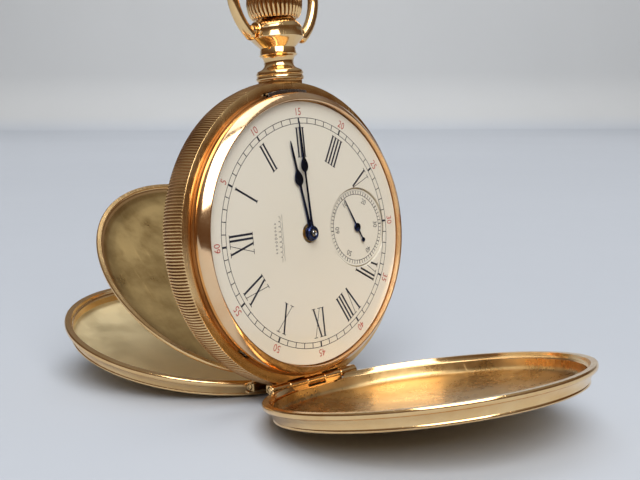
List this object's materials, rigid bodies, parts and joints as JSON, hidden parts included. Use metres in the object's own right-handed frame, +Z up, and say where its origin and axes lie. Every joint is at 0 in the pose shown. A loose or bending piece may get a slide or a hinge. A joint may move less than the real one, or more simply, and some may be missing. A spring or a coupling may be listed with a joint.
{
  "type": "hunter pocket watch",
  "caption": "Open-standing hunter-case pocket watch with coin-edged case, hinged front lid, back cover and inner cover, bow, winding crown and a geared movement.",
  "frame": {"origin": "on the table plane, under the middle of the open watch's box", "axes": "+Z up; the dial faces -Y and the front lid lies open towards -Y; the watch leans back 6 degrees towards +Y, where the back cover lies"},
  "size_m": [0.054, 0.1088, 0.0816],
  "materials": {
    "gold_case": "polished yellow gold with fine handling scratches",
    "crystal_glass": "clear polished",
    "enamel": "fired cream enamel, glossy",
    "blued_steel": "heat blued and polished",
    "steel": "polished steel",
    "gilt_brass": "frosted gilding",
    "brass": "satin brass",
    "ruby": "polished"
  },
  "bodies": {
    "case": {"case_center": "gold_case", "bezel": "gold_case", "crystal": "crystal_glass", "dial": "enamel", "seconds_dial": "enamel", "pendant": "gold_case", "front_hinge_pin": "gold_case", "back_hinge_pin": "gold_case", "lift_spring": "steel", "pillar_plate": "gilt_brass", "barrel_bridge": "gilt_brass", "train_bridge": "gilt_brass", "balance_cock": "gilt_brass", "pallet_cock": "gilt_brass", "bridge_screw_1": "blued_steel", "bridge_screw_2": "blued_steel", "bridge_screw_3": "blued_steel", "bridge_screw_4": "blued_steel", "bridge_screw_5": "blued_steel", "case_screw_1": "steel", "case_screw_2": "steel", "jewel_center": "ruby", "jewel_third": "ruby", "jewel_fourth": "ruby", "jewel_balance": "ruby", "hairspring": "blued_steel", "click_spring": "steel", "crown_wheel_screw": "blued_steel"},
    "front_lid": {"front_lid": "gold_case"},
    "back_cover": {"back_cover": "gold_case"},
    "cuvette": {"cuvette": "gold_case"},
    "bow": {"bow": "gold_case"},
    "stem_slider": {"stem_collar": "steel"},
    "crown_and_stem": {"crown": "gold_case", "winding_stem": "steel"},
    "winding_pinion": {"winding_pinion": "steel"},
    "crown_wheel": {"crown_wheel": "steel"},
    "ratchet": {"ratchet_wheel": "steel", "ratchet_screw": "blued_steel", "barrel_arbor": "steel"},
    "click": {"click": "steel"},
    "lock_spring": {"lock_spring": "steel"},
    "fourth": {"fourth_wheel": "brass", "seconds_hand": "blued_steel"},
    "third": {"third_wheel": "brass"},
    "center": {"center_wheel": "brass", "cannon_pinion": "steel", "minute_hand": "blued_steel"},
    "hour": {"hour_wheel": "brass", "hour_hand": "blued_steel"},
    "minute_wheel": {"minute_wheel": "brass"},
    "barrel": {"mainspring_barrel": "brass", "barrel_cover": "brass", "mainspring": "steel"},
    "escape": {"escape_wheel": "steel"},
    "balance": {"balance_wheel": "gilt_brass", "balance_staff": "steel", "roller": "steel"},
    "pallet_fork": {"pallet_fork": "steel"},
    "regulator": {"regulator": "steel"}
  },
  "joints": [
    {"name": "front_lid_hinge", "type": "hinge", "parent": "case", "child": "front_lid", "pos_m": [0, -0.00238, 0.00305], "axis": [1, 0, 0], "range_deg": [-85.4, 0]},
    {"name": "back_cover_hinge", "type": "hinge", "parent": "case", "child": "back_cover", "pos_m": [0, 0.00287, 0.00283], "axis": [1, 0, 0], "range_deg": [0, 72.7]},
    {"name": "cuvette_hinge", "type": "hinge", "parent": "case", "child": "cuvette", "pos_m": [0, 0.00287, 0.00283], "axis": [1, 0, 0], "range_deg": [0, 43.8]},
    {"name": "bow_swing", "type": "hinge", "parent": "case", "child": "bow", "pos_m": [0, 0.00656, 0.0642], "axis": [1, 0, 0], "range_deg": [-65, 65]},
    {"name": "crown_push", "type": "slide", "parent": "case", "child": "stem_slider", "axis": [0, 0.1045, 0.9945], "range_m": [-0.0006, 0], "stiffness_N_per_m": 1500},
    {"name": "crown_turn", "type": "hinge", "parent": "stem_slider", "child": "crown_and_stem", "pos_m": [0, 0.00656, 0.0642], "axis": [0, 0.1045, 0.9945], "continuous": true},
    {"name": "winding_pinion_turn", "type": "hinge", "parent": "case", "child": "winding_pinion", "pos_m": [0, 0.00437, 0.04342], "axis": [0, 0.1045, 0.9945], "continuous": true},
    {"name": "crown_wheel_turn", "type": "hinge", "parent": "case", "child": "crown_wheel", "pos_m": [0, 0.00726, 0.03929], "axis": [0, 0.9945, -0.1045], "continuous": true},
    {"name": "ratchet_turn", "type": "hinge", "parent": "case", "child": "ratchet", "pos_m": [-0.0105, 0.00665, 0.03352], "axis": [0, 0.9945, -0.1045], "continuous": true},
    {"name": "click_pivot", "type": "hinge", "parent": "case", "child": "click", "pos_m": [-0.01836, 0.00624, 0.02963], "axis": [0, 0.9945, -0.1045], "range_deg": [-4, 4]},
    {"name": "lock_spring_flex", "type": "hinge", "parent": "case", "child": "lock_spring", "pos_m": [-0.02245, 0.00066, 0.02245], "axis": [0, 0.9945, -0.1045], "range_deg": [0, 0.62]},
    {"name": "seconds_turn", "type": "hinge", "parent": "case", "child": "fourth", "pos_m": [0.01245, 0.00283, 0.0287], "axis": [0, 0.9945, -0.1045], "continuous": true},
    {"name": "third_turn", "type": "hinge", "parent": "case", "child": "third", "pos_m": [0.0075, 0.00215, 0.02223], "axis": [0, 0.9945, -0.1045], "continuous": true},
    {"name": "minute_turn", "type": "hinge", "parent": "case", "child": "center", "pos_m": [0, 0.00283, 0.0287], "axis": [0, 0.9945, -0.1045], "continuous": true},
    {"name": "hour_turn", "type": "hinge", "parent": "case", "child": "hour", "pos_m": [0, -0.00115, 0.02911], "axis": [0, 0.9945, -0.1045], "continuous": true},
    {"name": "minute_wheel_turn", "type": "hinge", "parent": "case", "child": "minute_wheel", "pos_m": [-0.0026, -0.00035, 0.02715], "axis": [0, 0.9945, -0.1045], "continuous": true},
    {"name": "barrel_turn", "type": "hinge", "parent": "case", "child": "barrel", "pos_m": [-0.0105, 0.00337, 0.03387], "axis": [0, 0.9945, -0.1045], "continuous": true},
    {"name": "escape_turn", "type": "hinge", "parent": "case", "child": "escape", "pos_m": [0.0155, 0.00237, 0.03397], "axis": [0, 0.9945, -0.1045], "continuous": true},
    {"name": "balance_swing", "type": "hinge", "parent": "case", "child": "balance", "pos_m": [0.0095, 0.00489, 0.03874], "axis": [0, 0.9945, -0.1045], "range_deg": [-150, 150], "stiffness_Nm_per_rad": 0.0000025},
    {"name": "pallet_swing", "type": "hinge", "parent": "case", "child": "pallet_fork", "pos_m": [0.01297, 0.0026, 0.03607], "axis": [0, 0.9945, -0.1045], "range_deg": [-5, 5]},
    {"name": "regulator_turn", "type": "hinge", "parent": "case", "child": "regulator", "pos_m": [0.0095, 0.00717, 0.0385], "axis": [0, 0.9945, -0.1045], "range_deg": [-12, 12]}
  ],
  "couplings": [
    {"joint": "cuvette_hinge", "follows": "back_cover_hinge", "ratio": 0.60247},
    {"joint": "winding_pinion_turn", "follows": "crown_turn", "ratio": 1},
    {"joint": "crown_wheel_turn", "follows": "crown_turn", "ratio": -0.44444},
    {"joint": "ratchet_turn", "follows": "crown_turn", "ratio": 0.2963},
    {"joint": "lock_spring_flex", "follows": "crown_push", "rad_per_m": -17.5},
    {"joint": "third_turn", "follows": "seconds_turn", "ratio": -0.13333},
    {"joint": "minute_turn", "follows": "seconds_turn", "ratio": 0.016667},
    {"joint": "hour_turn", "follows": "seconds_turn", "ratio": 0.0013889},
    {"joint": "minute_wheel_turn", "follows": "seconds_turn", "ratio": -0.0055556},
    {"joint": "barrel_turn", "follows": "seconds_turn", "ratio": -0.0025641},
    {"joint": "escape_turn", "follows": "seconds_turn", "ratio": -10},
    {"joint": "pallet_swing", "follows": "balance_swing", "ratio": -0.033333}
  ]
}
